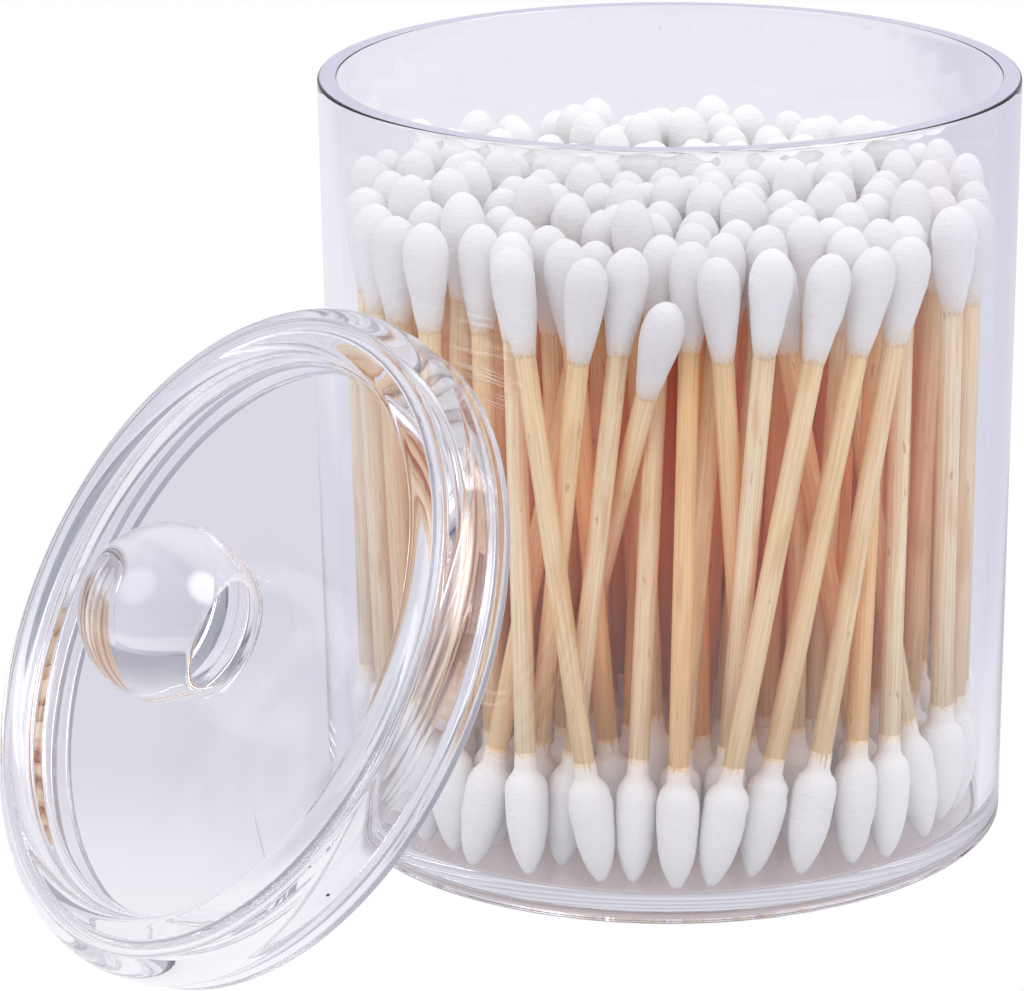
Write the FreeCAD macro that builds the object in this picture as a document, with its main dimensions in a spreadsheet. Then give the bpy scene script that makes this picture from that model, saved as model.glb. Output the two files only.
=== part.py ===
import FreeCAD, Part
import math
import os
import random

import Sketcher

# Cotton swab holder: a clear moulded jar full of bamboo swabs, and its clear lid
# with a ball knob, taken off and leaning on the jar. Millimetres, +Z up, origin at
# the middle of the jar's foot on the floor.

V = FreeCAD.Vector
doc = FreeCAD.newDocument("swab_holder")

# ---------------------------------------------------------------- driving sizes
SIZES = {
    # jar
    "jar_height": 90.6,
    "rim_radius": 41.0,
    "base_inset": 0.8,
    "wall": 2.25,
    "floor_top": 3.0,
    "foot_recess": 0.8,
    "foot_ring_width": 3.0,
    "floor_corner": 1.0,
    "rim_edge": 0.4,
    "foot_edge": 0.5,
    # lid
    "plug_clearance": 0.25,
    "flange_overlap": 0.35,
    "plug_depth": 3.6,
    "lid_height": 10.0,
    "lid_rounding": 5.0,
    "lid_wall": 2.1,
    "plate": 3.4,
    "pocket_depth": 2.0,
    "pocket_wall": 2.0,
    "pocket_lip": 1.1,
    "pocket_corner": 0.5,
    "channel_gap": 1.6,
    "under_corner": 1.0,
    "knob_radius": 10.0,
    "knob_lift": 6.8,
    "knob_foot": 0.8,
    "lean_elevation": 30.6,
    "lean_azimuth": 54.2,
    "lean_gap": 0.05,
    "lean_slide": 7.5,
    # swab
    "swab_length": 75.0,
    "stick_radius": 1.25,
    "bore_depth": 9.0,
    "round_length": 12.5,
    "round_radius": 2.5,
    "round_neck_cover": 0.25,
    "point_length": 14.7,
    "point_radius": 2.55,
    "point_nib": 0.7,
    "collar_cover": 0.5,
    "collar_length": 2.5,
    # how the swabs stand
    "swab_spacing": 5.1,
    "tip_gap": 0.16,
    "wall_gap": 0.3,
    "stick_gap": 0.35,
    "standing_gap": 0.05,
    "height_spread": 2.8,
}

sheet = doc.addObject("Spreadsheet::Sheet", "sizes")
for row, (alias, value) in enumerate(SIZES.items(), start=1):
    sheet.set("A%d" % row, alias)
    sheet.set("B%d" % row, str(value))
    sheet.setAlias("B%d" % row, alias)
doc.recompute()


def size(alias):
    """The value of one driving size, read back from the sheet."""
    return float(sheet.get(alias))


def bound(expression):
    """The expression with each size's name pointing into the sheet."""
    words = expression.replace("(", " ( ").replace(")", " ) ").split()
    joined = " ".join("sizes." + word if word in SIZES else word for word in words)
    return joined.replace("min (", "min(")


def value(expression):
    """What such an expression comes to."""
    words = expression.replace("(", " ( ").replace(")", " ) ").split()
    stack = [str(size(word)) if word in SIZES else word for word in words]
    return FreeCAD.Units.Quantity(" ".join(stack)).Value


def turned(label, outline):
    """A body turned about Z. The outline is a closed list of corners, each given as
    two expressions, radius and height; a radius of 0 lies on the axis."""
    body = doc.addObject("PartDesign::Body", label)
    body.Label = label
    plane = [o for o in body.Origin.OriginFeatures if o.Role == "XZ_Plane"][0]
    sketch = body.newObject("Sketcher::SketchObject", label + "_section")
    sketch.AttachmentSupport = [(plane, "")]
    sketch.MapMode = "FlatFace"
    corners = [(value(radius), value(height)) for radius, height in outline]
    for here, there in zip(corners, corners[1:] + corners[:1]):
        sketch.addGeometry(Part.LineSegment(V(*here, 0), V(*there, 0)), False)
    for line in range(len(corners)):
        joined = (line + 1) % len(corners)
        sketch.addConstraint(Sketcher.Constraint("Coincident", line, 2, joined, 1))
    for line, (radius, height) in enumerate(outline):
        for kind, expression, axis in (("DistanceX", radius, -2), ("DistanceY", height, -1)):
            number = value(expression)
            if number == 0:
                sketch.addConstraint(Sketcher.Constraint("PointOnObject", line, 1, axis))
                continue
            where = sketch.addConstraint(Sketcher.Constraint(kind, -1, 1, line, 1, number))
            sketch.setExpression("Constraints[%d]" % where, bound(expression))
    solid = body.newObject("PartDesign::Revolution", label + "_turned")
    solid.Profile = sketch
    solid.ReferenceAxis = (sketch, ["V_Axis"])
    solid.Angle = 360
    sketch.Visibility = False
    doc.recompute()
    return body


def rounded(body, name, expression, rings):
    """A fillet on the body's circular edges at the given radius and height."""
    tip = body.Tip
    wanted = [(value(radius), value(height)) for radius, height in rings]
    edges = []
    for number, edge in enumerate(tip.Shape.Edges, start=1):
        if edge.Degenerated or not isinstance(edge.Curve, Part.Circle):
            continue
        at = (edge.Curve.Radius, edge.Curve.Center.z)
        if any(math.dist(at, ring) < 1e-4 for ring in wanted):
            edges.append("Edge%d" % number)
    fillet = body.newObject("PartDesign::Fillet", name)
    fillet.Base = (tip, edges)
    fillet.setExpression("Radius", bound(expression))
    doc.recompute()


# ---------------------------------------------------------------- jar
# One clear moulding: a tall wall with a slight draft, a plain rim, a flat floor and
# a shallow recess below it that leaves a foot ring.
base_radius = "rim_radius - base_inset"
inner_base = base_radius + " - wall"
jar = turned("jar", [
    ("0", "foot_recess"),
    (base_radius + " - foot_ring_width", "foot_recess"),
    (base_radius + " - foot_ring_width", "0"),
    (base_radius, "0"),
    ("rim_radius", "jar_height"),
    ("rim_radius - wall", "jar_height"),
    (inner_base, "floor_top"),
    ("0", "floor_top"),
])
rounded(jar, "jar_rim_edge", "rim_edge", [("rim_radius", "jar_height")])
rounded(jar, "jar_mouth_edge", "rim_edge / 2", [("rim_radius - wall", "jar_height")])
rounded(jar, "jar_floor_corner", "floor_corner", [(inner_base, "floor_top")])
rounded(jar, "jar_foot_edge", "foot_edge", [(base_radius, "0")])

# ---------------------------------------------------------------- lid
# One clear moulding too: a thick plate in a hollow ring, a little below the ring's top,
# with a ball knob on it. The ring's plug fits the jar's mouth, its flange lies on the rim.
mouth = "rim_radius - wall"
plug = mouth + " - plug_clearance"
flange = mouth + " + flange_overlap"
channel_out = plug + " - lid_wall"
channel_in = channel_out + " - channel_gap"
pocket = channel_in + " - pocket_wall"
plate_top = "lid_height - pocket_depth"
plate_low = plate_top + " - plate"
lid = turned("lid", [
    ("0", plate_low),
    (pocket, plate_low),
    (pocket, "0"),
    (channel_in, "0"),
    (channel_in, plate_top),
    (channel_out, plate_top),
    (channel_out, "0"),
    (plug, "0"),
    (plug, "plug_depth"),
    (flange, "plug_depth"),
    (flange, "lid_height"),
    (pocket, "lid_height"),
    (pocket, plate_top),
    ("0", plate_top),
])
ball = lid.newObject("PartDesign::AdditiveSphere", "lid_knob")
ball.setExpression("Radius", bound("knob_radius"))
ball.AttachmentSupport = [([o for o in lid.Origin.OriginFeatures if o.Role == "XY_Plane"][0], "")]
ball.MapMode = "FlatFace"
ball.setExpression(".AttachmentOffset.Base.z", bound(plate_top + " + knob_lift"))
doc.recompute()
knob_meets_plate = str(math.sqrt(size("knob_radius") ** 2 - size("knob_lift") ** 2))
ring_room = "( " + flange + " - ( " + pocket + " ) - pocket_lip ) * 0.95"
step_room = "( lid_height - plug_depth ) * 0.8"
rounded(lid, "lid_outer_rounding", "min ( lid_rounding ; " + ring_room + " ; " + step_room + " )",
        [(flange, "lid_height")])
rounded(lid, "lid_pocket_lip", "pocket_lip", [(pocket, "lid_height")])
rounded(lid, "lid_pocket_corner", "pocket_corner", [(pocket, plate_top)])
rounded(lid, "lid_under_corner", "under_corner", [(pocket, plate_low)])
rounded(lid, "lid_knob_foot", "knob_foot", [(knob_meets_plate, plate_top)])
rounded(lid, "lid_channel_roof", "channel_gap * 0.45", [
    (channel_in, plate_top),
    (channel_out, plate_top),
])

# The lid stands on the edge of its plug, tipped back, and slides up to the jar until
# only the leaning gap is left between them.
azimuth = math.radians(size("lean_azimuth"))
elevation = math.radians(size("lean_elevation"))
away = V(-math.sin(azimuth), -math.cos(azimuth), 0)
knob_way = away * math.cos(elevation) + V(0, 0, math.sin(elevation))
turn = FreeCAD.Rotation(V(0, 0, 1), knob_way)
on_floor = value(plug) * math.cos(elevation)


def lid_place(out):
    """The lid's placement with the middle of its plug's edge this far from the jar."""
    side = V(-away.y, away.x, 0) * size("lean_slide")
    return FreeCAD.Placement(away * out + side + V(0, 0, on_floor), turn)


near = 0.0
far = 3 * size("rim_radius")
flange_low = Part.makeCylinder(value(flange), 1e-3, V(0, 0, value("plug_depth")))
plug_low = Part.makeCylinder(value(plug), 1e-3)
while far - near > 1e-3:
    middle = (near + far) / 2
    gaps = []
    for disc in (plug_low, flange_low):
        disc.Placement = lid_place(middle)
        gaps.append(disc.distToShape(jar.Shape)[0])
    if min(gaps) > size("lean_gap"):
        far = middle
    else:
        near = middle
lid.Placement = lid_place(far)
doc.recompute()

# ---------------------------------------------------------------- swab pieces
# A swab is a bamboo stick and two wound cotton tips. Each tip has a blind bore that
# the stick's end fills face to face. The patterns stand on Z = 0, point down.
round_start = "swab_length - round_length"
round_neck = "stick_radius + round_neck_cover"
collar_radius = "stick_radius + collar_cover"
point_belly = "point_length * 0.62"
point_shoulder = "point_length - collar_length"
round_belly = "swab_length - round_radius * 1.9"
low_bore = "point_length - bore_depth"
high_bore = round_start + " + bore_depth"

stick = turned("stick_pattern", [
    ("0", low_bore),
    ("stick_radius", low_bore),
    ("stick_radius", high_bore),
    ("0", high_bore),
])
round_tip = turned("round_tip_pattern", [
    ("stick_radius", round_start),
    (round_neck, round_start),
    ("round_radius", round_belly),
    ("round_radius", "swab_length"),
    ("0", "swab_length"),
    ("0", high_bore),
    ("stick_radius", high_bore),
])
rounded(round_tip, "round_tip_end", "round_radius * 0.9", [("round_radius", "swab_length")])
slope = (size("round_radius") - value(round_neck)) / (value(round_belly) - value(round_start))
if slope > 0.11:  # a slimmer tip is smooth there already
    rounded(round_tip, "round_tip_belly", "round_radius * 3", [("round_radius", round_belly)])
point_tip = turned("point_tip_pattern", [
    ("0", "0"),
    ("point_nib", "0"),
    ("point_radius", point_belly),
    ("point_radius", point_shoulder),
    (collar_radius, point_shoulder),
    (collar_radius, "point_length"),
    ("stick_radius", "point_length"),
    ("stick_radius", low_bore),
    ("0", low_bore),
])
rounded(point_tip, "point_tip_nib", "point_nib * 0.8", [("point_nib", "0")])
rounded(point_tip, "point_tip_belly", "point_radius * 4", [("point_radius", point_belly)])
rounded(point_tip, "point_tip_shoulder", "( point_radius - ( " + collar_radius + " ) ) * 0.9",
        [("point_radius", point_shoulder)])

# How far a swab reaches from its own middle line, at each length from its point.
REACH = [
    (0.0, size("point_nib")),
    (value(point_belly), size("point_radius")),
    (value(point_shoulder), size("point_radius")),
    (value(point_shoulder) + 0.5, value(collar_radius)),
    (size("point_length"), value(collar_radius)),
    (size("point_length") + 0.5, size("stick_radius")),
    (value(round_start) - 0.5, size("stick_radius")),
    (value(round_start), value(round_neck)),
    (value(round_belly), size("round_radius")),
    (size("swab_length") - size("round_radius"), size("round_radius")),
    (size("swab_length") - size("round_radius") * 0.3, size("round_radius") * 0.8),
    (size("swab_length"), size("round_radius") * 0.3),
]


def reach(along):
    """The swab's radius at this length from its point."""
    for (start, low), (end, high) in zip(REACH, REACH[1:]):
        if along <= end:
            share = max(0.0, (along - start) / (end - start))
            return low + (high - low) * share
    return REACH[-1][1]


# ---------------------------------------------------------------- standing swabs
# The swabs stand point down on the jar's floor in rings, close together, each with a
# lean of its own. The front ones are chosen one by one: the foot's angle and its
# distance in from the wall ring, then the head's, in degrees from the front
# (counter-clockwise seen from below, so + is to the right) and millimetres.
FRONT_SWABS = [
    (-57, 0, -69, 0),
    (-50, 0, -58, 0),
    (-43, 0, -49, 0),
    (-37, 5, -40, 5),
    (-15, 0, -33, 0),
    (-20, 6, -25, 4),
    (-34, 0, -16, 9),
    (-29, 6, -11, 0),
    (-25, 0, -5, 4),
    (-43, 14, 2, 0),
    (-6, 0, -2, 7),
    (1, 0, 5, 6),
    (21, 8, 8, 0),
    (7, 5, 17, 0),
    (8, 0, 30, 0),
    (15, 0, 41, 0),
    (22, 0, 49, 0),
    (31, 0, 52, 6),
    (49, 0, 20, 6),
    (58, 0, 48, 10),
    (65, 0, 61, 0),
    (74, 0, 73, 0),
]
ROUNDS = 400
random_lean = random.Random(7)


class Swab:
    """One standing swab: where the ends of its middle line are, how high its point
    stands above the lowest ones, its ring, and how readily it gives way."""

    def __init__(self, foot, head, lift, ring, hold):
        self.foot = list(foot)
        self.head = list(head)
        self.lift = lift
        self.ring = ring
        self.hold = hold
        self.measure()

    def measure(self):
        """Its middle and radius at each level above the jar's floor."""
        dx = self.head[0] - self.foot[0]
        dy = self.head[1] - self.foot[1]
        self.rise = math.sqrt(size_length ** 2 - dx * dx - dy * dy)
        slant = size_length / self.rise
        self.spots = []
        for level in levels:
            share = (level - self.lift) / self.rise
            radius = reach(share * size_length) * slant if 0 <= share <= 1 else 0.0
            x = self.foot[0] + dx * share
            y = self.foot[1] + dy * share
            self.spots.append((x, y, radius, share))

    def push(self, x, y, share):
        """Moves the line by (x, y) at this share of its height."""
        scale = (1 - share) ** 2 + share ** 2
        self.foot[0] += x * (1 - share) / scale
        self.foot[1] += y * (1 - share) / scale
        self.head[0] += x * share / scale
        self.head[1] += y * share / scale
        self.measure()


def polar(angle, distance):
    """A place in plan, from its angle from the front and its distance out."""
    return distance * math.sin(math.radians(angle)), -distance * math.cos(math.radians(angle))


def shortfall(one, other):
    """The level where two swabs are closest for their size, and how much they lack."""
    worst = (0.0, 0)
    for number, (here, there) in enumerate(zip(one.spots, other.spots)):
        if here[2] == 0.0 or there[2] == 0.0:
            continue
        both = here[2] + there[2]
        gap = stick_gap if both < 1.2 * stick_both else tip_gap
        lack = both + gap - math.hypot(here[0] - there[0], here[1] - there[1])
        worst = max(worst, (lack, number))
    return worst


def inner_wall(level):
    """The jar's inner radius at this level above its floor."""
    share = level / (size("jar_height") - size("floor_top"))
    return value(inner_base) + (value(mouth) - value(inner_base)) * share


size_length = size("swab_length")
stick_both = 2 * size("stick_radius")
stick_gap = size("stick_gap")
tip_gap = size("tip_gap")
levels = [size_length * number / 16 for number in range(1, 16)]
levels += [value(point_belly), value(point_shoulder), value(round_belly)]
levels += [size_length - size("round_radius"), size_length - size("round_radius") * 0.4]
levels.sort()
walls = [inner_wall(level) for level in levels]
spacing = size("swab_spacing")
wall_gap = size("wall_gap")
foot_ring = inner_wall(value(point_belly)) - size("point_radius") - wall_gap
head_ring = inner_wall(value(round_belly)) - size("round_radius") - wall_gap

swabs = []
for foot_angle, foot_in, head_angle, head_in in FRONT_SWABS:
    foot = polar(foot_angle, foot_ring - foot_in)
    head = polar(head_angle, head_ring - head_in)
    ring = 1 + round((foot_in + head_in) / 2 / spacing)
    lift = random_lean.uniform(0, size("height_spread") / 4)
    swabs.append(Swab(foot, head, lift, ring, 0.15))
chosen = list(swabs)

rings = int(foot_ring / spacing) + 1
for ring in range(1, rings + 1):
    distance = foot_ring - (ring - 1) * spacing
    around = max(1, int(2 * math.pi * distance / spacing))
    twist = random_lean.uniform(-12, 12)
    for site in range(around):
        angle = 360 * (site + 0.5 * (ring % 2)) / around
        lean = twist + random_lean.uniform(-7, 7)
        foot = polar(angle, distance)
        head = polar(angle + lean, distance + random_lean.uniform(-1, 1))
        near_foot = min(math.dist(foot, other.foot) for other in chosen)
        near_head = min(math.dist(head, other.head) for other in chosen)
        if near_foot > 0.5 * spacing and near_head > 0.4 * spacing:
            lift = size("height_spread") * random_lean.random() ** 2
            swabs.append(Swab(foot, head, lift, ring, 1.0))


def neighbours():
    """The pairs of swabs that can touch."""
    pairs = []
    for number, one in enumerate(swabs):
        for other in swabs[number + 1:]:
            apart = min(math.dist(here[:2], there[:2])
                        for here, there in zip(one.spots[::2], other.spots[::2]))
            if apart < 2 * spacing:
                pairs.append((one, other))
    return pairs


for turn_number in range(ROUNDS):
    if turn_number % 20 == 0:
        pairs = neighbours()
    moved = False
    for one, other in pairs:
        lack, number = shortfall(one, other)
        if lack < 0.002:
            continue
        moved = True
        here = one.spots[number]
        there = other.spots[number]
        apart = math.hypot(here[0] - there[0], here[1] - there[1]) + 1e-9
        x = (here[0] - there[0]) / apart * lack * 0.6
        y = (here[1] - there[1]) / apart * lack * 0.6
        total = one.hold + other.hold
        one.push(x * 2 * one.hold / total, y * 2 * one.hold / total, here[3])
        other.push(-x * 2 * other.hold / total, -y * 2 * other.hold / total, there[3])
    for swab in swabs:
        over, number = max((math.hypot(x, y) + radius + wall_gap - walls[at], at)
                           for at, (x, y, radius, share) in enumerate(swab.spots) if radius)
        if over > 0:
            moved = True
            x, y, radius, share = swab.spots[number]
            out = math.hypot(x, y)
            swab.push(-x / out * over, -y / out * over, share)
    if not moved:
        break

# A swab that still has no room is left out.
allowed = tip_gap * 0.3
while True:
    crowding = {}
    for one, other in neighbours():
        if shortfall(one, other)[0] > allowed:
            for swab in (one, other):
                crowding[id(swab)] = crowding.get(id(swab), 0) + swab.hold
    if not crowding:
        break
    swabs = [swab for swab in swabs if id(swab) != max(crowding, key=crowding.get)]


# Each ring of swabs is three nodes: its sticks, its round tips and its pointed tips.
base = size("floor_top") + size("standing_gap")
nodes = [jar, lid]
for ring in sorted({swab.ring for swab in swabs}):
    for kind, pattern in (("sticks", stick), ("round_tips", round_tip), ("pointed_tips", point_tip)):
        copies = []
        for swab in swabs:
            if swab.ring != ring:
                continue
            way = V(swab.head[0] - swab.foot[0], swab.head[1] - swab.foot[1], swab.rise)
            copy = pattern.Shape.copy()
            copy.Placement = FreeCAD.Placement(V(*swab.foot, base + swab.lift), FreeCAD.Rotation(V(0, 0, 1), way))
            copies.append(copy)
        node = doc.addObject("Part::Feature", "ring_%d_%s" % (ring, kind))
        node.Label = node.Name
        node.Shape = Part.makeCompound(copies)
        nodes.append(node)
doc.recompute()

# ---------------------------------------------------------------- checks and files
for item in doc.Objects:
    if "Invalid" in item.State or "Error" in item.State:
        raise RuntimeError("failed: " + item.Label)
for node in nodes:
    if node.Shape.isNull() or not node.Shape.isValid():
        raise RuntimeError("no valid shape: " + node.Label)

os.makedirs("parts", exist_ok=True)
for node in nodes:
    node.Shape.exportStep("parts/%s.step" % node.Label)
print("swabs", len(swabs), "rounds", turn_number + 1, "nodes", len(nodes))
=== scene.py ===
import math

import bpy
import numpy as np
from mathutils import Matrix, Vector


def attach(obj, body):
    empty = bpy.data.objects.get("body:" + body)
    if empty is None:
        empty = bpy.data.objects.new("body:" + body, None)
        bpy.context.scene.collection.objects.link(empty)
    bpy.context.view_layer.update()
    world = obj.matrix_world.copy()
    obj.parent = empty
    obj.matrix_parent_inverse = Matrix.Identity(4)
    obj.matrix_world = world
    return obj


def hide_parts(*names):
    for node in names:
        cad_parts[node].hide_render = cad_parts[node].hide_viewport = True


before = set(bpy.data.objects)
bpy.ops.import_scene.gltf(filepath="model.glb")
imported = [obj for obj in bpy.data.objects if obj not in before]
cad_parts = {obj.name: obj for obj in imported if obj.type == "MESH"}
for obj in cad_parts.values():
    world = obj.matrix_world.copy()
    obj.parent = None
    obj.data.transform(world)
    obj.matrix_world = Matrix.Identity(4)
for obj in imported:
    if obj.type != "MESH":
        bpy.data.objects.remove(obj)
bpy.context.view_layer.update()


# ---------------------------------------------------------------- view
# A long lens a little above the jar, looking slightly down. The frame is wider to the
# left of the jar, where the lid leans.
mm = 0.001
look_down = 17.66
lens = bpy.data.cameras.new("view")
lens.sensor_width = 36
lens.lens = 155.4
lens.shift_x = -0.154
viewer = bpy.data.objects.new("view", lens)
viewer.location = (0, -505.8 * mm, 199.7 * mm)
viewer.rotation_euler = (math.radians(90 - look_down), 0, 0)
scene = bpy.context.scene
scene.collection.objects.link(viewer)
scene.camera = viewer


# ---------------------------------------------------------------- room
# A white table in a pale room, with a large window-like light on the left and a round one
# on the right. Seen directly, table and room are plain white. Their shades show only in
# the clear plastic and in the light on the swabs.
def nodes_of(owner):
    """The node tree of a new material or world, emptied, with its output node."""
    owner.use_nodes = True
    tree = owner.node_tree
    tree.nodes.clear()
    kind = "ShaderNodeOutputWorld" if isinstance(owner, bpy.types.World) else "ShaderNodeOutputMaterial"
    return tree, tree.nodes.new(kind)


def node(tree, kind, inputs=None, **settings):
    """A new node with its settings, and its inputs set to values or joined to sockets."""
    new = tree.nodes.new("ShaderNode" + kind)
    for name, value in settings.items():
        setattr(new, name, value)
    for name, value in (inputs or {}).items():
        if isinstance(value, bpy.types.NodeSocket):
            tree.links.new(value, new.inputs[name])
        else:
            new.inputs[name].default_value = value
    return new


def ramp(tree, value, low, high, start, end):
    """The value mapped smoothly from low..high to start..end."""
    return node(tree, "MapRange", {0: value, 1: low, 2: high, 3: start, 4: end},
                interpolation_type="SMOOTHSTEP").outputs[0]


def blend(tree, share, one, other):
    """One colour turned into the other by the share."""
    return node(tree, "MixRGB", {0: share, 1: one, 2: other}).outputs[0]


def maths(tree, kind, one, other=0.0):
    """One step of arithmetic on two values, or on the first alone."""
    return node(tree, "Math", {0: one, 1: other}, operation=kind).outputs[0]


def parts_of(tree, vector):
    """The x, y and z of a vector."""
    return node(tree, "SeparateXYZ", {0: vector}).outputs


def measure(tree, vector, aim):
    """How far the vector reaches along the aim: their dot product."""
    return node(tree, "VectorMath", {0: vector, 1: Vector(aim)}, operation="DOT_PRODUCT").outputs["Value"]


def distance(tree, spot, place):
    """The distance from the spot to a place given in millimetres."""
    return node(tree, "VectorMath", {0: spot, 1: Vector(place) * mm}, operation="DISTANCE").outputs["Value"]


def light_spot(tree, way, aim, inner, outer):
    """1 within the inner angle of the aim, 0 beyond the outer one, in degrees."""
    close = measure(tree, way, Vector(aim).normalized())
    return ramp(tree, close, math.cos(math.radians(outer)), math.cos(math.radians(inner)), 0.0, 1.0)


def lamp_glow(tree, base, share, colour, strength):
    """The base colour with a lamp's colour added by its share."""
    much = maths(tree, "MULTIPLY", share, strength)
    grey = node(tree, "CombineColor", {0: much, 1: much, 2: much}).outputs[0]
    lamp = node(tree, "MixRGB", {0: 1.0, 1: grey, 2: colour}, blend_type="MULTIPLY").outputs[0]
    return node(tree, "MixRGB", {0: 1.0, 1: base, 2: lamp}, blend_type="ADD").outputs[0]


white = (1, 1, 1, 1)
sky = bpy.data.worlds.new("room")
scene.world = sky
sky.cycles.sampling_method = "NONE"
tree, output = nodes_of(sky)
way = node(tree, "TexCoord").outputs["Generated"]
right, back, up = parts_of(tree, way)
path = node(tree, "LightPath").outputs

# Matt surfaces are lit evenly from all round, and more from above.
soft = blend(tree, ramp(tree, up, -0.2, 1.0, 0.0, 1.0), (0.71, 0.70, 0.71, 1), (1.48, 1.48, 1.51, 1))

# The clear plastic shows walls under a brighter ceiling, a dark band at the horizon
# except at the back, the dark behind the viewer and a darker left side.
walls = blend(tree, ramp(tree, back, 0.2, 0.75, 0.0, 1.0), (0.20, 0.19, 0.25, 1), (0.42, 0.42, 0.49, 1))
seen = blend(tree, ramp(tree, up, 0.05, 0.7, 0.0, 1.0), walls, (0.82, 0.82, 0.88, 1))
horizon = 0.1
off_horizon = maths(tree, "ABSOLUTE", maths(tree, "SUBTRACT", up, horizon))
no_band = maths(tree, "MAXIMUM", ramp(tree, off_horizon, 0.02, 0.1, 0.0, 1.0),
                ramp(tree, back, 0.6, 0.9, 0.0, 1.0))
seen = blend(tree, no_band, (0.12, 0.11, 0.18, 1), seen)
seen = blend(tree, ramp(tree, back, -0.95, -0.45, 0.0, 1.0), (0.19, 0.175, 0.26, 1), seen)
seen = blend(tree, ramp(tree, right, -0.95, -0.5, 0.0, 1.0), (0.40, 0.41, 0.47, 1), seen)

# The two lamps are faint where the plastic bends light and strong where it mirrors.
window = light_spot(tree, way, (-0.55, -0.42, 0.72), 13, 28)
lantern = light_spot(tree, way, (0.72, -0.30, 0.63), 9, 24)
cool, warm = (0.9, 0.96, 1.0, 1), (1.0, 0.99, 0.98, 1)
bent, mirrored = [
    lamp_glow(tree, lamp_glow(tree, seen, window, cool, window_light), lantern, warm, lantern_light)
    for window_light, lantern_light in ((0.5, 0.8), (3.4, 10.0))]
lit = blend(tree, path["Is Glossy Ray"], bent, mirrored)
lit = blend(tree, path["Is Diffuse Ray"], lit, soft)
around = node(tree, "Background", {0: blend(tree, path["Is Camera Ray"], lit, white), 1: 1.0})
tree.links.new(around.outputs[0], output.inputs["Surface"])

# Through the plastic the table shows painted light and shade: a grey painted shadow of the
# lid and jar behind the lid, paler further off, painted light in front, painted shade near
# the viewer, far back, to the sides and a little to the right of the jar, and a brownish
# painted shadow under the jar with the warm light of the sticks painted into it.
table_finish = bpy.data.materials.new("white_table")
table_finish.cycles.emission_sampling = "NONE"
tree, output = nodes_of(table_finish)
path = node(tree, "LightPath").outputs
spot = node(tree, "TexCoord").outputs["Object"]
right, back, up = parts_of(tree, spot)
aside = maths(tree, "ABSOLUTE", right)
behind_lid = distance(tree, spot, (-30, 90, 0))
out = distance(tree, spot, (0, 0, 0))
# Painted shadow of the lid and jar, grey on the table behind the lid.
through = blend(tree, ramp(tree, behind_lid, 85 * mm, 125 * mm, 0.0, 1.0),
                (0.77, 0.76, 0.84, 1), (0.86, 0.855, 0.93, 1))
# Painted light on the table in front of the jar.
through = blend(tree, ramp(tree, back, -55 * mm, 12 * mm, 1.0, 0.0), through, (0.97, 0.96, 1.0, 1))
# Painted shade near the viewer, far back, to the sides and to the right of the jar.
through = blend(tree, ramp(tree, back, -320 * mm, -100 * mm, 0.0, 1.0), (0.15, 0.135, 0.175, 1), through)
through = blend(tree, ramp(tree, back, 450 * mm, 900 * mm, 0.0, 1.0), through, (0.52, 0.52, 0.59, 1))
through = blend(tree, ramp(tree, aside, 180 * mm, 500 * mm, 0.0, 1.0), through, (0.22, 0.21, 0.28, 1))
through = blend(tree, ramp(tree, right, 50 * mm, 90 * mm, 0.0, 0.8), through, (0.64, 0.635, 0.75, 1))
# Painted shadow under the jar, darker and browner towards its middle, with the sticks' warm light painted
# in.
painted_shadow_under_jar = blend(tree, ramp(tree, out, 20 * mm, 37 * mm, 0.0, 1.0),
              (0.32, 0.245, 0.24, 1), (0.52, 0.455, 0.475, 1))
through = blend(tree, ramp(tree, out, 39.5 * mm, 43 * mm, 0.0, 1.0), painted_shadow_under_jar, through)
glow = node(tree, "Emission", {0: blend(tree, path["Is Camera Ray"], through, white), 1: 1.0}).outputs[0]
matt = node(tree, "BsdfDiffuse", {"Color": (0.62, 0.61, 0.64, 1)}).outputs[0]
by_light = maths(tree, "MAXIMUM", path["Is Diffuse Ray"], path["Is Shadow Ray"])
table_look = node(tree, "MixShader", {0: by_light, 1: glow, 2: matt})
tree.links.new(table_look.outputs[0], output.inputs["Surface"])

half, low = 3000 * mm, -0.03 * mm
table = bpy.data.objects.new("table", bpy.data.meshes.new("table"))
table.data.from_pydata([(-half, -half, low), (half, -half, low), (half, half, low), (-half, half, low)],
                       [], [(0, 1, 2, 3)])
table.data.materials.append(table_finish)
scene.collection.objects.link(table)

scene.view_settings.view_transform = "Standard"
clear_bounces = 36
scene.cycles.max_bounces = clear_bounces
scene.cycles.glossy_bounces = clear_bounces
scene.cycles.transmission_bounces = clear_bounces
scene.cycles.diffuse_bounces = 12
scene.cycles.adaptive_threshold = 0.025
scene.cycles.caustics_reflective = False
scene.cycles.caustics_refractive = False


# ---------------------------------------------------------------- jar
# One clear acrylic moulding: a tall wall with a slight draft and a plain sawn rim, a
# flat floor and a shallow recess under it that leaves a foot ring.
def arc(centre, radius, start, end, steps):
    """Points on a circle's arc in the section: centre + radius * (cos a, sin a), with the
    angle a going evenly from start to end, in degrees."""
    angle = np.radians(np.linspace(start, end, steps))
    return np.stack([centre[0] + radius * np.cos(angle), centre[1] + radius * np.sin(angle)], 1)


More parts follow.
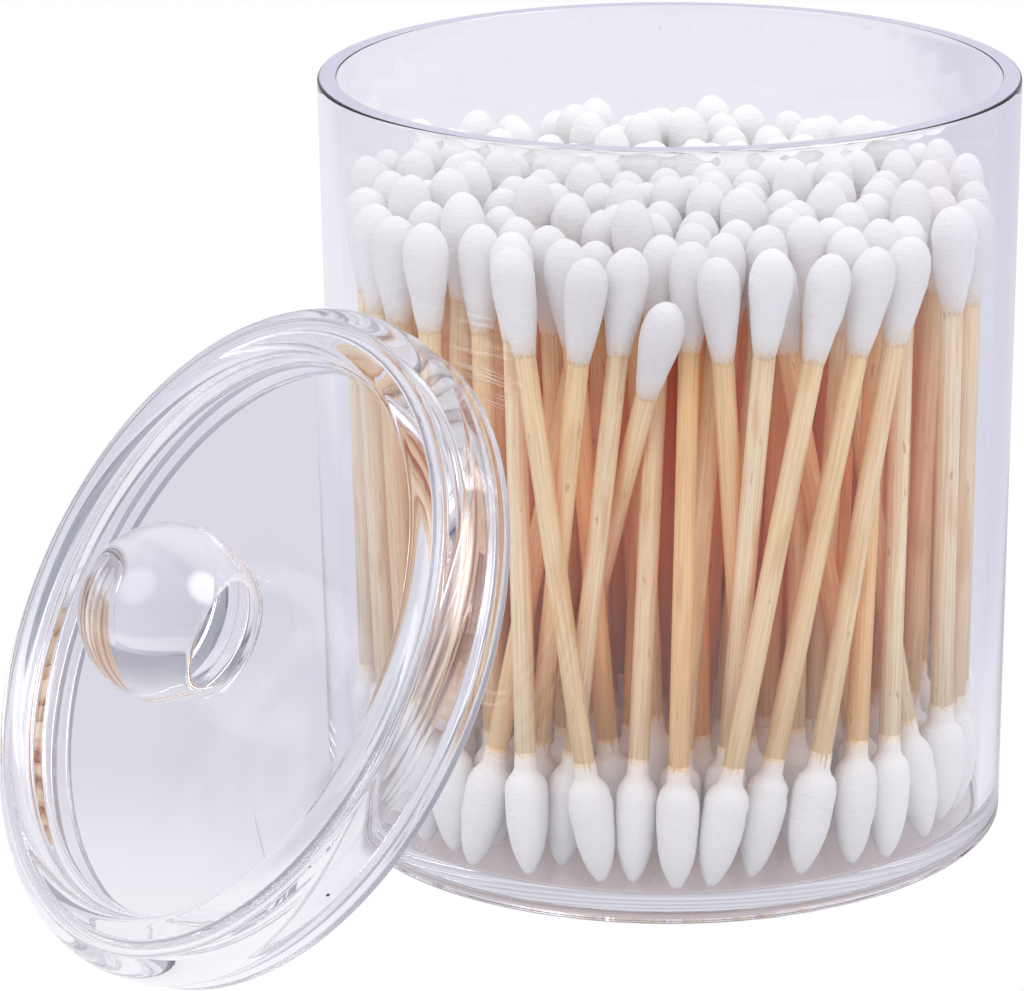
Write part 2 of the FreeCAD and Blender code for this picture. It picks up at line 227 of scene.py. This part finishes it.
def turned(name, section, steps, place=Matrix.Identity(4)):
    """A closed surface of revolution: each point (radius, height) of the section goes
    round the axis as (radius cos a, radius sin a, height). Both ends lie on the axis and
    close to a point. The section runs so that the faces point outwards."""
    section = np.asarray(section, float) * mm
    turn = 2 * np.pi * np.arange(steps) / steps
    ring = section[1:-1]
    body = np.stack([ring[:, 0, None] * np.cos(turn), ring[:, 0, None] * np.sin(turn),
                     np.repeat(ring[:, 1, None], steps, 1)], 2).reshape(-1, 3)
    points = np.vstack([body, [[0, 0, section[0, 1]], [0, 0, section[-1, 1]]]])
    row = np.arange(len(ring) - 1)[:, None] * steps
    here = np.arange(steps)[None, :]
    there = (here + 1) % steps
    quads = np.stack([row + here, row + there, row + steps + there, row + steps + here], 2)
    first, last = len(body), len(body) + 1
    end = (len(ring) - 1) * steps
    faces = quads.reshape(-1, 4).tolist()
    faces += [(first, b, a) for a, b in zip(here[0].tolist(), there[0].tolist())]
    faces += [(last, end + a, end + b) for a, b in zip(here[0].tolist(), there[0].tolist())]
    mesh = bpy.data.meshes.new(name)
    mesh.from_pydata(points.tolist(), [], faces)
    mesh.shade_smooth()
    mesh.transform(place)
    piece = bpy.data.objects.new(name, mesh)
    scene.collection.objects.link(piece)
    return piece


def near(tree, spot, place, inner, outer):
    """1 within the inner distance of a place, 0 beyond the outer one, in millimetres."""
    return ramp(tree, distance(tree, spot, place), inner * mm, outer * mm, 1.0, 0.0)


def noise(tree, vector, scale, detail, **more):
    """A cloudy pattern from 0 to 1, of the scale and the amount of detail."""
    return node(tree, "TexNoise", {"Vector": vector, "Scale": scale, "Detail": detail, **more}).outputs[0]


def clear_plastic(name, tint, marks):
    """Polished clear acrylic with marks on it. Each mark has a share of the surface, a
    colour, and how clear and how rough it leaves the plastic."""
    finish = bpy.data.materials.new(name)
    tree, output = nodes_of(finish)
    spot = node(tree, "TexCoord").outputs["Object"]
    colour, clearness, roughness = tint, 1.0, 0.0
    for share, stain, clear, rough in marks(tree, spot):
        colour = blend(tree, share, colour, stain)
        clearness = maths(tree, "MULTIPLY", clearness, ramp(tree, share, 0.0, 1.0, 1.0, clear))
        roughness = maths(tree, "MAXIMUM", roughness, maths(tree, "MULTIPLY", share, rough))
    acrylic = node(tree, "BsdfPrincipled", {"Base Color": colour, "Roughness": roughness, "IOR": 1.49,
                                            "Transmission Weight": clearness})
    tree.links.new(acrylic.outputs[0], output.inputs["Surface"])
    return finish


def jar_marks(tree, spot):
    """The sawn rim, a little matt and milky; two patches of fine scratches low and high on
    the front of the wall, from noise drawn out along them; a faint pink tinge and an
    orange speck near the rim."""
    rim = ramp(tree, parts_of(tree, spot)["Z"], (jar_height - 0.04) * mm, (jar_height - 0.01) * mm, 0.0, 1.0)
    lengthwise, crosswise = (160, 0, 0), (900, 0, 3800)
    drawn = node(tree, "CombineXYZ", {0: measure(tree, spot, lengthwise), 1: measure(tree, spot, crosswise)})
    lines = noise(tree, drawn.outputs[0], 1.0, 1.0)
    patches = maths(tree, "MAXIMUM", near(tree, spot, (-21.4, -34.6, 62.4), 2.6, 6.2),
                    near(tree, spot, (-20, -35, 16.8), 0.6, 4.0))
    scratches = maths(tree, "MULTIPLY", ramp(tree, lines, 0.56, 0.66, 0.0, 0.5), patches)
    tinge = near(tree, spot, (31, -26.5, 84), 1.0, 7.0)
    speck = near(tree, spot, (-1.2, 38.7, 87.7), 0.2, 0.5)
    return [(rim, (0.75, 0.73, 0.89, 1), 0.4, 0.3),
            (scratches, (1.0, 0.86, 0.74, 1), 0.2, 0.4),
            (tinge, (0.975, 0.93, 0.95, 1), 1.0, 0.0),
            (speck, (0.97, 0.76, 0.68, 1), 0.9, 0.1)]


def let_light_through(piece):
    """Light on its way to what is behind the clear piece passes it unbent."""
    piece.visible_shadow = False
    piece.visible_diffuse = False


jar_height, rim_radius, base_radius, wall = 90.6, 41.0, 40.2, 2.25
floor_top, recess, ring_width = 3.0, 0.8, 3.0
rim_edge, mouth_edge, floor_corner, foot_edge = 0.4, 0.2, 1.0, 0.5
mouth_radius = rim_radius - wall
inner_base = base_radius - wall
ring_inside = base_radius - ring_width
jar_section = np.vstack([
    [(0, recess), (12, recess), (ring_inside - 0.3, recess), (ring_inside, recess - 0.05),
     (ring_inside, 0.05), (ring_inside + 0.05, 0), (base_radius - foot_edge - 0.3, 0)],
    arc((base_radius - foot_edge, foot_edge), foot_edge, -90, 0, 7),
    [(base_radius + 0.01, 1.0), (base_radius + (rim_radius - base_radius) * 0.5, jar_height / 2),
     (rim_radius - 0.01, jar_height - 1.2)],
    arc((rim_radius - rim_edge, jar_height - rim_edge), rim_edge, 0, 90, 7),
    [(rim_radius - rim_edge - 0.1, jar_height), (mouth_radius + mouth_edge + 0.1, jar_height)],
    arc((mouth_radius + mouth_edge, jar_height - mouth_edge), mouth_edge, 90, 180, 5),
    [(mouth_radius - 0.01, jar_height - 1.0), ((mouth_radius + inner_base) / 2, jar_height / 2),
     (inner_base + 0.01, floor_top + floor_corner + 0.3)],
    arc((inner_base - floor_corner, floor_top + floor_corner), floor_corner, 0, -90, 9),
    [(inner_base - floor_corner - 0.3, floor_top), (12, floor_top), (0, floor_top)],
])
jar = turned("jar_body", jar_section, 240)
jar_tint = (0.975, 0.972, 0.985, 1)
jar.data.materials.append(clear_plastic("clear_acrylic_jar", jar_tint, jar_marks))
let_light_through(jar)
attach(jar, "root")
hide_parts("jar")


# ---------------------------------------------------------------- lid
# One clear acrylic moulding too: a thick plate in a hollow ring, a little below the
# ring's top, with a ball knob on it. The ring's plug fits the jar's mouth and its flange
# lies on the rim. Here it is off, and leans on the jar.
def cad_triangles(name):
    """The points of a CAD node, and the numbers of each triangle's three points."""
    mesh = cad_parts[name].data
    mesh.calc_loop_triangles()
    spots = np.zeros(len(mesh.vertices) * 3)
    mesh.vertices.foreach_get("co", spots)
    corners = np.zeros(len(mesh.loop_triangles) * 3, int)
    mesh.loop_triangles.foreach_get("vertices", corners)
    return spots.reshape(-1, 3), corners.reshape(-1, 3)


def lid_frame():
    """The lid's own frame. A round body's surface has its middle on the axis, and its
    spread about that middle is equal in all directions but the axis, so the axis is
    the direction whose spread differs most from the other two."""
    spots, corners = cad_triangles("lid")
    triangles = spots[corners]
    one_side, other_side = triangles[:, 1] - triangles[:, 0], triangles[:, 2] - triangles[:, 0]
    area = np.linalg.norm(np.cross(one_side, other_side), axis=1)
    middles = triangles.mean(1)
    centre = (middles * area[:, None]).sum(0) / area.sum()
    spread = np.einsum("n,ni,nj->ij", area, middles - centre, middles - centre)
    for corner in range(3):
        part = triangles[:, corner] - middles
        spread += np.einsum("n,ni,nj->ij", area, part, part) / 12
    values, ways = np.linalg.eigh(spread)
    odd = 0 if abs(values[1] - values[0]) > abs(values[2] - values[1]) else 2
    axis = ways[:, odd] * np.sign(ways[2, odd])
    low = ((spots - centre) @ axis).min()
    turn = Vector((0, 0, 1)).rotation_difference(Vector(axis)).to_matrix().to_4x4()
    return Matrix.Translation(Vector(centre + axis * low)) @ turn


lid_place = lid_frame()
plug_radius, flange_radius, plug_depth, lid_height = 38.5, 39.1, 3.6, 10.0
rounding, lip, corner, under_corner, edge = 4.94, 1.1, 0.5, 1.0, 0.12
lid_wall, channel_gap, pocket_wall, pocket_depth, plate = 2.1, 1.6, 2.0, 2.0, 3.4
knob_radius, knob_lift, knob_foot = 10.0, 6.8, 0.2
channel_out = plug_radius - lid_wall
channel_in = channel_out - channel_gap
pocket = channel_in - pocket_wall
roof_edge = channel_gap * 0.45
plate_top = lid_height - pocket_depth
plate_low = plate_top - plate
knob_centre = plate_top + knob_lift
foot_out = math.sqrt((knob_radius + knob_foot) ** 2 - (knob_lift - knob_foot) ** 2)
foot_turn = math.degrees(math.atan2(knob_lift - knob_foot, foot_out))
lid_section = np.vstack([
    [(0, plate_low), (12, plate_low), (pocket - under_corner - 0.3, plate_low)],
    arc((pocket - under_corner, plate_low - under_corner), under_corner, 90, 0, 7),
    [(pocket, plate_low - under_corner - 0.3), (pocket, edge + 0.3)],
    arc((pocket + edge, edge), edge, 180, 270, 4),
    [(pocket + edge + 0.2, 0), (channel_in - edge - 0.2, 0)],
    arc((channel_in - edge, edge), edge, -90, 0, 4),
    [(channel_in, edge + 0.3), (channel_in, plate_top - roof_edge - 0.3)],
    arc((channel_in + roof_edge, plate_top - roof_edge), roof_edge, 180, 90, 7),
    arc((channel_out - roof_edge, plate_top - roof_edge), roof_edge, 90, 0, 7),
    [(channel_out, plate_top - roof_edge - 0.3), (channel_out, edge + 0.3)],
    arc((channel_out + edge, edge), edge, 180, 270, 4),
    [(channel_out + edge + 0.2, 0), (plug_radius - edge - 0.2, 0)],
    arc((plug_radius - edge, edge), edge, -90, 0, 4),
    [(plug_radius, edge + 0.2), (plug_radius, plug_depth - 0.05), (plug_radius + 0.05, plug_depth),
     (flange_radius - edge - 0.1, plug_depth)],
    arc((flange_radius - edge, plug_depth + edge), edge, -90, 0, 4),
    [(flange_radius, plug_depth + edge + 0.2)],
    arc((flange_radius - rounding, lid_height - rounding), rounding, 0, 90, 17),
    arc((pocket + lip, lid_height - lip), lip, 90, 180, 9),
    arc((pocket - corner, plate_top + corner), corner, 0, -90, 7),
    [(pocket - corner - 0.3, plate_top), (20, plate_top), (foot_out + 0.3, plate_top)],
    arc((foot_out, plate_top + knob_foot), knob_foot, 270, 180 - foot_turn, 9),
    arc((0, knob_centre), knob_radius, -foot_turn + 2, 89, 40),
    [(0, knob_centre + knob_radius)],
])
lid = turned("lid_body", lid_section, 240, lid_place)


def lid_marks(tree, spot):
    """Faint cloudy smears on the plate and cloudy patches of painted shade round a spot on
    it, a hairline scratch down its top, measured along it, across it and up from the plate,
    and a dark speck on the ring's flank."""
    top, way, up = np.array([-44.8, -65.1, 24.9]), np.array([0.245, -0.839, -0.486]), lid_place.col[2].xyz
    half_length = 5.4
    off = node(tree, "VectorMath", {0: spot, 1: Vector(top * mm)}, operation="SUBTRACT").outputs[0]
    along, across, above = [measure(tree, off, aim) for aim in (way, np.cross(way, up), up)]
    middle = maths(tree, "ABSOLUTE", maths(tree, "SUBTRACT", along, half_length * mm))
    beside = maths(tree, "ABSOLUTE", across)
    hairline = maths(tree, "MULTIPLY", ramp(tree, beside, 0.08 * mm, 0.22 * mm, 0.6, 0.0),
                     ramp(tree, middle, 2.5 * mm, 5.6 * mm, 1.0, 0.0))
    hairline = maths(tree, "MULTIPLY", hairline, ramp(tree, above, -1.5 * mm, -1.0 * mm, 0.0, 1.0))
    cloud = noise(tree, spot, 70.0, 3.0, Distortion=1.2)
    # Painted shade: cloudy darker patches on the plate round a spot on it.
    painted_shade_clouds = maths(tree, "MULTIPLY", ramp(tree, cloud, 0.42, 0.62, 1.0, 0.0),
                 near(tree, spot, (-42, -62, 36), 14.0, 30.0))
    smear = maths(tree, "MULTIPLY", ramp(tree, cloud, 0.56, 0.7, 0.0, 0.3),
                  near(tree, spot, (-38, -63, 35), 6.0, 22.0))
    speck = near(tree, spot, (-35.8, -77.2, 19.3), 0.14, 0.3)
    return [(painted_shade_clouds, (0.925, 0.923, 0.94, 1), 1.0, 0.0),
            (smear, white, 0.3, 0.0),
            (hairline, (0.40, 0.39, 0.47, 1), 0.2, 0.3),
            (speck, (0.03, 0.03, 0.05, 1), 0.0, 0.4)]


lid.data.materials.append(clear_plastic("clear_acrylic", jar_tint, lid_marks))
let_light_through(lid)
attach(lid, "root")
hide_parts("lid")


# ---------------------------------------------------------------- swabs
# Turned bamboo sticks with cotton wool wound round both ends, a round tip above and a
# pointed one below. They stand loose in the jar, in rings, each on the line of its CAD
# solid.
swab_length, stick_radius = 75.0, 1.25
round_length, round_radius = 12.5, 2.5
point_length, point_radius = 14.7, 2.55
# Radii: the cotton runs out flush with the stick and closes sunk in it, what is under the
# bare radius stays even, and the pointed tip ends in a nib. The stick's own low end, from
# which lengths are measured, lies stick_low above the tip of the nib.
flush, sunk, bare, nib, stick_low = 1.29, 1.2, 1.3, 0.45, 5.7
# How uneven and out of round the swabs are, and what brings them back within their sizes.
uneven, out_of_round, widest = 0.02, 0.025, 1.03
# How far apart along the grain neighbouring swabs, and the rings, start.
swab_grain, ring_grain = 100.0, 70.0


def stick_lines(name):
    """The low end and the direction of each stick in a CAD node. Corners at one spot are
    one point, and points joined by triangles take the lowest number among them until
    nothing changes, so each stick ends with one number."""
    spots, corners = cad_triangles(name)
    spots, same = np.unique(np.round(spots, 6), axis=0, return_inverse=True)
    triangles = same.reshape(-1)[corners]
    group = np.arange(len(spots))
    while True:
        lowest = group.copy()
        for corner in range(3):
            np.minimum.at(lowest, triangles[:, corner], group[triangles].min(1))
        if (lowest == group).all():
            break
        group = lowest
    lines = []
    for number in np.unique(group):
        own = spots[group == number]
        centre = (own.min(0) + own.max(0)) / 2
        axis = np.linalg.svd(own - own.mean(0))[2][0]
        axis *= np.sign(axis[2])
        along = (own - centre) @ axis
        lines.append((centre + axis * along.min(), axis))
    return lines


def wound(name, lines, profile, mouth, steps, tones_and_shade, seed):
    """A round body along each line: at each (radius, length) of the profile a ring of
    points stands square to the line, start + length * axis + radius * (side cos a +
    across sin a). The cotton, which is thicker than the bare stick, is a little uneven,
    and everything a little out of round. A point's place on its own swab goes into the
    attribute 'place', in millimetres, with another start along the grain for each swab
    and ring, 'tone_and_shade' holds each swab's own value plus the painted shade of its
    ring, and 'cover' the length from the mouth, where the cotton begins."""
    random = np.random.default_rng(seed)
    low = np.array([line[0] for line in lines])
    axis = np.array([line[1] for line in lines])
    side = np.cross(axis, [0, 1, 0])
    side /= np.linalg.norm(side, axis=1)[:, None]
    across = np.cross(axis, side)
    turn = 2 * np.pi * np.arange(steps) / steps
    radius, length = np.asarray(profile, float).T
    count, rings = len(lines), len(radius)
    wobble = 1 + uneven * random.standard_normal((count, rings, 1)) * (radius > bare)[None, :, None]
    phase = random.uniform(0, 6.28, (count, 1, 1))
    oval = 1 + out_of_round * np.cos(2 * turn[None, None, :] + phase)
    reach = radius[None, :, None] * wobble * oval / widest
    flat = side[:, None, None, :] * np.cos(turn)[None, None, :, None]
    flat = flat + across[:, None, None, :] * np.sin(turn)[None, None, :, None]
    points = low[:, None, None, :] + axis[:, None, None, :] * length[None, :, None, None] * mm
    points = points + flat * reach[..., None] * mm
    grain = swab_grain * np.arange(count)[:, None, None] + ring_grain * (seed // 10)
    local = np.stack(np.broadcast_arrays(
        reach * np.cos(turn), reach * np.sin(turn), length[None, :, None] + grain), -1)
    ring = np.arange(steps)
    nxt = (ring + 1) % steps
    strip = np.stack([ring, nxt, nxt + steps, ring + steps], 1)
    one = (strip[None] + steps * np.arange(rings - 1)[:, None, None]).reshape(-1, 4)
    quads = (one[None] + steps * rings * np.arange(count)[:, None, None]).reshape(-1, 4)
    first = (ring[::-1][None] + steps * rings * np.arange(count)[:, None])
    last = (ring[None] + steps * (rings - 1) + steps * rings * np.arange(count)[:, None])
    mesh = bpy.data.meshes.new(name)
    mesh.from_pydata(points.reshape(-1, 3).tolist(), [], quads.tolist() + first.tolist() + last.tolist())
    mesh.shade_smooth()
    place = mesh.attributes.new("place", "FLOAT_VECTOR", "POINT")
    place.data.foreach_set("vector", local.astype(np.float32).ravel())
    tone_and_shade = mesh.attributes.new("tone_and_shade", "FLOAT", "POINT")
    tone_and_shade.data.foreach_set("value", np.repeat(tones_and_shade, rings * steps).astype(np.float32))
    cover = mesh.attributes.new("cover", "FLOAT", "POINT")
    cover.data.foreach_set("value", np.tile(np.repeat(abs(length - mouth), steps), count).astype(np.float32))
    piece = bpy.data.objects.new(name, mesh)
    scene.collection.objects.link(piece)
    return piece


def drawn_out(tree, place, across, along):
    """The place on the swab, scaled across the stick and along it."""
    return node(tree, "Mapping", {0: place, 3: (across, across, along)}).outputs[0]


def wood_colour(tree, place):
    """The colour of bamboo and its fibres: each stick has a value of its own, where 0 is
    straw and 1 tan; beyond 1, which only the painted shade of the inner rings reaches, it
    turns a warm amber and then a deep orange; fine fibres run along the stick, with some
    browner stretches and a few darker flecks."""
    tone_and_shade = node(tree, "Attribute", attribute_name="tone_and_shade").outputs["Fac"]
    pale = blend(tree, ramp(tree, tone_and_shade, 0.0, 1.0, 0.0, 1.0), (0.92, 0.80, 0.57, 1), (0.88, 0.67, 0.40, 1))
    # Amber and deep orange are painted shade, for the values that the inner rings add.
    honey_shade = blend(tree, ramp(tree, tone_and_shade, 0.95, 1.6, 0.0, 1.0), pale, (0.96, 0.52, 0.20, 1))
    light = blend(tree, ramp(tree, tone_and_shade, 1.5, 2.1, 0.0, 1.0), honey_shade, (0.96, 0.34, 0.05, 1))
    fibre = noise(tree, drawn_out(tree, place, 2.6, 0.05), 1.6, 4.0, Roughness=0.65)
    patch = noise(tree, drawn_out(tree, place, 0.5, 0.07), 1.0, 2.0)
    fleck = noise(tree, drawn_out(tree, place, 1.6, 0.35), 1.0, 3.0)
    dark = blend(tree, 0.34, light, (0.55, 0.26, 0.10, 1))
    colour = blend(tree, ramp(tree, fibre, 0.36, 0.6, 0.0, 1.0), dark, light)
    colour = blend(tree, ramp(tree, patch, 0.55, 0.72, 0.0, 0.55), colour, (0.66, 0.38, 0.16, 1))
    return blend(tree, ramp(tree, fleck, 0.66, 0.74, 0.0, 0.5), colour, (0.38, 0.18, 0.07, 1)), fibre


def bamboo():
    """Pale bamboo with fine fibres. For light that comes off another stick its colour is
    painted a warmer orange, a painted glow, so the gaps between the sticks glow orange."""
    finish = bpy.data.materials.new("bamboo")
    tree, output = nodes_of(finish)
    place = node(tree, "Attribute", attribute_name="place").outputs["Vector"]
    colour, fibre = wood_colour(tree, place)
    bump = node(tree, "Bump", {"Height": fibre, "Strength": 0.3, "Distance": 0.0001}).outputs[0]
    painted_glow_share = node(tree, "LightPath").outputs["Is Diffuse Ray"]
    # Painted glow: for light bounced off another stick the wood's colour is pushed most of the way to
    # orange.
    colour = blend(tree, painted_glow_share, colour, blend(tree, 0.7, colour, (1.0, 0.63, 0.26, 1)))
    wood = node(tree, "BsdfPrincipled", {"Base Color": colour, "Roughness": 0.55, "Specular IOR Level": 0.15,
                                         "Normal": bump})
    tree.links.new(wood.outputs[0], output.inputs["Surface"])
    return finish


def cotton():
    """White cotton wool wound round the stick: faint turns and a soft uneven surface, a
    little greyer for some swabs and greyer still, as painted shade, in the inner rings.
    Where it begins it is thin and ragged, and the wood shows through."""
    finish = bpy.data.materials.new("cotton")
    tree, output = nodes_of(finish)
    place = node(tree, "Attribute", attribute_name="place").outputs["Vector"]
    tone_and_shade = node(tree, "Attribute", attribute_name="tone_and_shade").outputs["Fac"]
    turns = noise(tree, drawn_out(tree, place, 0.4, 2.0), 1.5, 3.0)
    fluff = noise(tree, place, 3.0, 4.0, Roughness=0.7)
    both = maths(tree, "ADD", turns, fluff)
    bump = node(tree, "Bump", {"Height": both, "Strength": 0.7, "Distance": 0.00018}).outputs[0]
    cover = node(tree, "Attribute", attribute_name="cover").outputs["Fac"]
    ragged = maths(tree, "SUBTRACT", maths(tree, "MULTIPLY", fluff, 4.0), 2.0)
    depth = maths(tree, "ADD", cover, ragged)
    thin = ramp(tree, cover, 1.0, 3.2, 0.72, 1.0)
    share = maths(tree, "MULTIPLY", ramp(tree, depth, -0.1, 0.9, 0.0, 1.0), thin)
    # Cotton greyer by each swab's own value, and greyer still in the inner rings as painted shade.
    colour = blend(tree, ramp(tree, tone_and_shade, 0.0, 1.0, 0.0, 1.0),
                   (0.895, 0.895, 0.912, 1), (0.84, 0.835, 0.845, 1))
    colour = blend(tree, share, wood_colour(tree, place)[0], colour)
    wool = node(tree, "BsdfPrincipled", {"Base Color": colour, "Roughness": 1.0, "Specular IOR Level": 0.3,
                                         "Sheen Weight": 0.15, "Sheen Roughness": 0.5, "Normal": bump})
    tree.links.new(wool.outputs[0], output.inputs["Surface"])
    return finish


def round_profile():
    """Radius against length for the round tip. From the stick it swells along a sine to
    the belly, over two thirds up, and closes as a quarter of an ellipse."""
    rise = np.linspace(0, 1, 6)
    swell = flush + (round_radius - flush) * np.sin(rise * np.pi / 2) ** 1.2
    belly = 0.73 * round_length
    low = np.stack([swell, rise * belly], 1)
    dome = np.radians(np.array([22, 42, 60, 77]))
    top = np.stack([round_radius * np.cos(dome), belly + (round_length - belly) * np.sin(dome)], 1)
    profile = np.vstack([(sunk, -0.1), low, top])
    profile[:, 1] += swab_length - round_length - stick_low
    return profile


def point_profile():
    """Radius against length for the pointed tip, from its blunt point up. It swells to
    the belly, keeps it a little, rounds in to the shoulder and runs out on the stick as a
    thin collar."""
    low = [(nib, 0), (0.76, 0.45), (1.35, 1.5), (1.85, 3.0), (2.2, 4.5), (2.43, 6.0),
           (point_radius, 7.8), (point_radius, 9.2)]
    top = [(2.5, 10.2), (2.33, 11.1), (2.0, 11.7), (1.6, 12.2), (flush + 0.05, 12.8),
           (flush, point_length - 0.1), (sunk, point_length)]
    profile = np.vstack([low, top])
    profile[:, 1] -= stick_low
    return profile


bamboo_finish = bamboo()
cotton_finish = cotton()
stick_sides, cotton_sides = 12, 14
stick_profile = [(stick_radius, length) for length in (4, 30, 45, 61)]
round_mouth, point_mouth = swab_length - round_length - stick_low, point_length - stick_low
kinds = (("sticks", stick_profile, 0, stick_sides, bamboo_finish, "bamboo"),
         ("round_tips", round_profile(), round_mouth, cotton_sides, cotton_finish, "cotton"),
         ("pointed_tips", point_profile(), point_mouth, cotton_sides, cotton_finish, "cotton"))
# Each ring further in is deeper in colour, painted shade deep among the swabs.
inner_ring_shade = 0.35
ring = 1
while "ring_%d_sticks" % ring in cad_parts:
    lines = stick_lines("ring_%d_sticks" % ring)
    tones_and_shade = np.random.default_rng(ring).uniform(0, 1, len(lines)) + inner_ring_shade * (ring - 1)
    for number, (kind, profile, mouth, steps, finish, slot) in enumerate(kinds):
        piece = wound("ring_%d_wound_%s" % (ring, kind), lines, profile, mouth, steps, tones_and_shade,
                      10 * ring + number)
        piece.data.materials.append(finish)
        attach(piece, "root")
        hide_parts("ring_%d_%s" % (ring, kind))
    ring += 1
